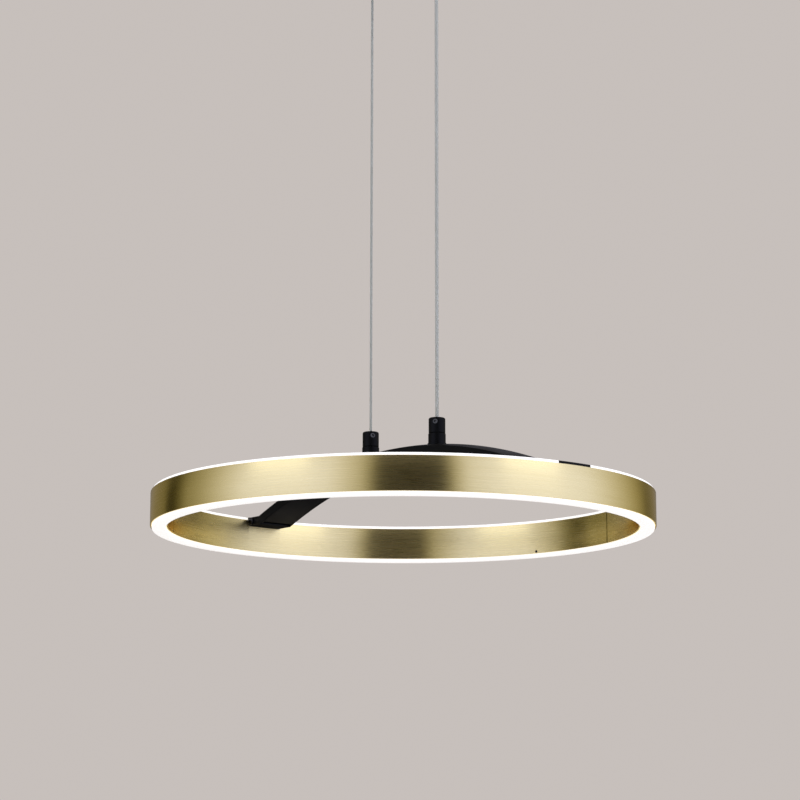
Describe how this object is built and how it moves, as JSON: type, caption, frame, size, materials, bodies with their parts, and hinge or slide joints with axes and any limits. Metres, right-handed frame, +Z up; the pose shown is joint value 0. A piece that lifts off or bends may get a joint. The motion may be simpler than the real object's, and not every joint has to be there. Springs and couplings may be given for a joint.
{
  "type": "ring pendant light",
  "caption": "Brass-tone ring pendant lit above and below, carried by an arched black bridge and hung on a wire and a power cable from a round ceiling canopy.",
  "frame": {"origin": "middle of the ceiling bracket's upper face, where it meets the ceiling", "axes": "+Z up into the ceiling, +X along the bridge towards the power cable, +Y across the bridge"},
  "size_m": [0.3999, 0.4, 0.5173],
  "materials": {
    "brass_tone": "brushed brass-tone anodised aluminium",
    "opal": "opal acrylic, lit from inside",
    "satin_black": "satin black powder coat",
    "black_screw": "black oxide steel",
    "bright_steel": "bright nickel-plated steel",
    "zinc_steel": "zinc-plated steel",
    "wire_steel": "steel wire rope in a thin clear sheath",
    "cable_sheath": "clear flexible sheath over tinned cores",
    "lead_sheath": "insulated lead",
    "strip_board": "white light strip",
    "led_chip": "phosphor LED, lit",
    "driver_case": "white moulded case",
    "driver_circuit": "green circuit board",
    "foam_pad": "double-sided foam pad",
    "nylon": "moulded nylon"
  },
  "bodies": {
    "canopy": {"ceiling_bracket": "zinc_steel", "canopy_cover": "satin_black", "cover_screws": "satin_black", "driver_housing": "driver_case", "driver_lid": "driver_case", "driver_board": "driver_circuit", "driver_pad": "foam_pad", "terminal_block": "nylon", "terminal_block_screws": "bright_steel", "mains_leads": "lead_sheath", "left_gripper_cup": "satin_black", "right_gripper_cup": "satin_black", "left_gripper_seat": "bright_steel", "right_gripper_seat": "bright_steel", "left_gripper_stud": "satin_black", "right_gripper_stud": "satin_black", "gripper_nuts": "bright_steel", "left_gripper_spring": "bright_steel", "right_gripper_spring": "bright_steel", "suspension_wire_tail": "wire_steel", "wire_stop": "zinc_steel", "power_cable_tail": "cable_sheath"},
    "left_release": {"left_nozzle": "bright_steel", "left_gripper_balls": "bright_steel"},
    "right_release": {"right_nozzle": "bright_steel", "right_gripper_balls": "bright_steel"},
    "wires": {"suspension_wire": "wire_steel", "power_cable": "cable_sheath"},
    "lamp": {"bridge_shell": "satin_black", "bridge_cover": "satin_black", "bridge_cover_screws": "black_screw", "left_terminal_base": "satin_black", "right_terminal_base": "satin_black", "left_terminal_cap": "satin_black", "right_terminal_cap": "satin_black", "terminal_set_screws": "bright_steel", "terminal_nuts": "bright_steel", "wire_ferrule": "zinc_steel", "lamp_leads": "lead_sheath", "left_foot": "satin_black", "right_foot": "satin_black", "foot_screws": "black_screw", "side_screws": "black_screw", "ring_profile": "brass_tone", "ring_joiner": "zinc_steel", "joiner_rivets": "bright_steel", "lower_diffuser": "opal", "diffuser_screws": "black_screw", "upper_diffuser_front": "opal", "upper_diffuser_back": "opal", "lower_led_board": "strip_board", "lower_leds": "led_chip", "upper_led_board_front": "strip_board", "upper_led_board_back": "strip_board", "upper_leds": "led_chip"}
  },
  "joints": [
    {"name": "swing", "type": "hinge", "parent": "canopy", "child": "wires", "pos_m": [0, 0, -0.054], "axis": [1, 0, 0], "range_deg": [-15, 15]},
    {"name": "height_adjust", "type": "slide", "parent": "wires", "child": "lamp", "axis": [0, 0, 1], "range_m": [0, 0.25], "deforming": ["suspension_wire", "power_cable"]},
    {"name": "left_nozzle_press", "type": "slide", "parent": "canopy", "child": "left_release", "axis": [0, 0, 1], "range_m": [0, 0.0025], "stiffness_N_per_m": 400, "springref_m": -0.004, "deforming": ["left_gripper_spring"]},
    {"name": "right_nozzle_press", "type": "slide", "parent": "canopy", "child": "right_release", "axis": [0, 0, 1], "range_m": [0, 0.0025], "stiffness_N_per_m": 400, "springref_m": -0.004, "deforming": ["right_gripper_spring"]}
  ]
}
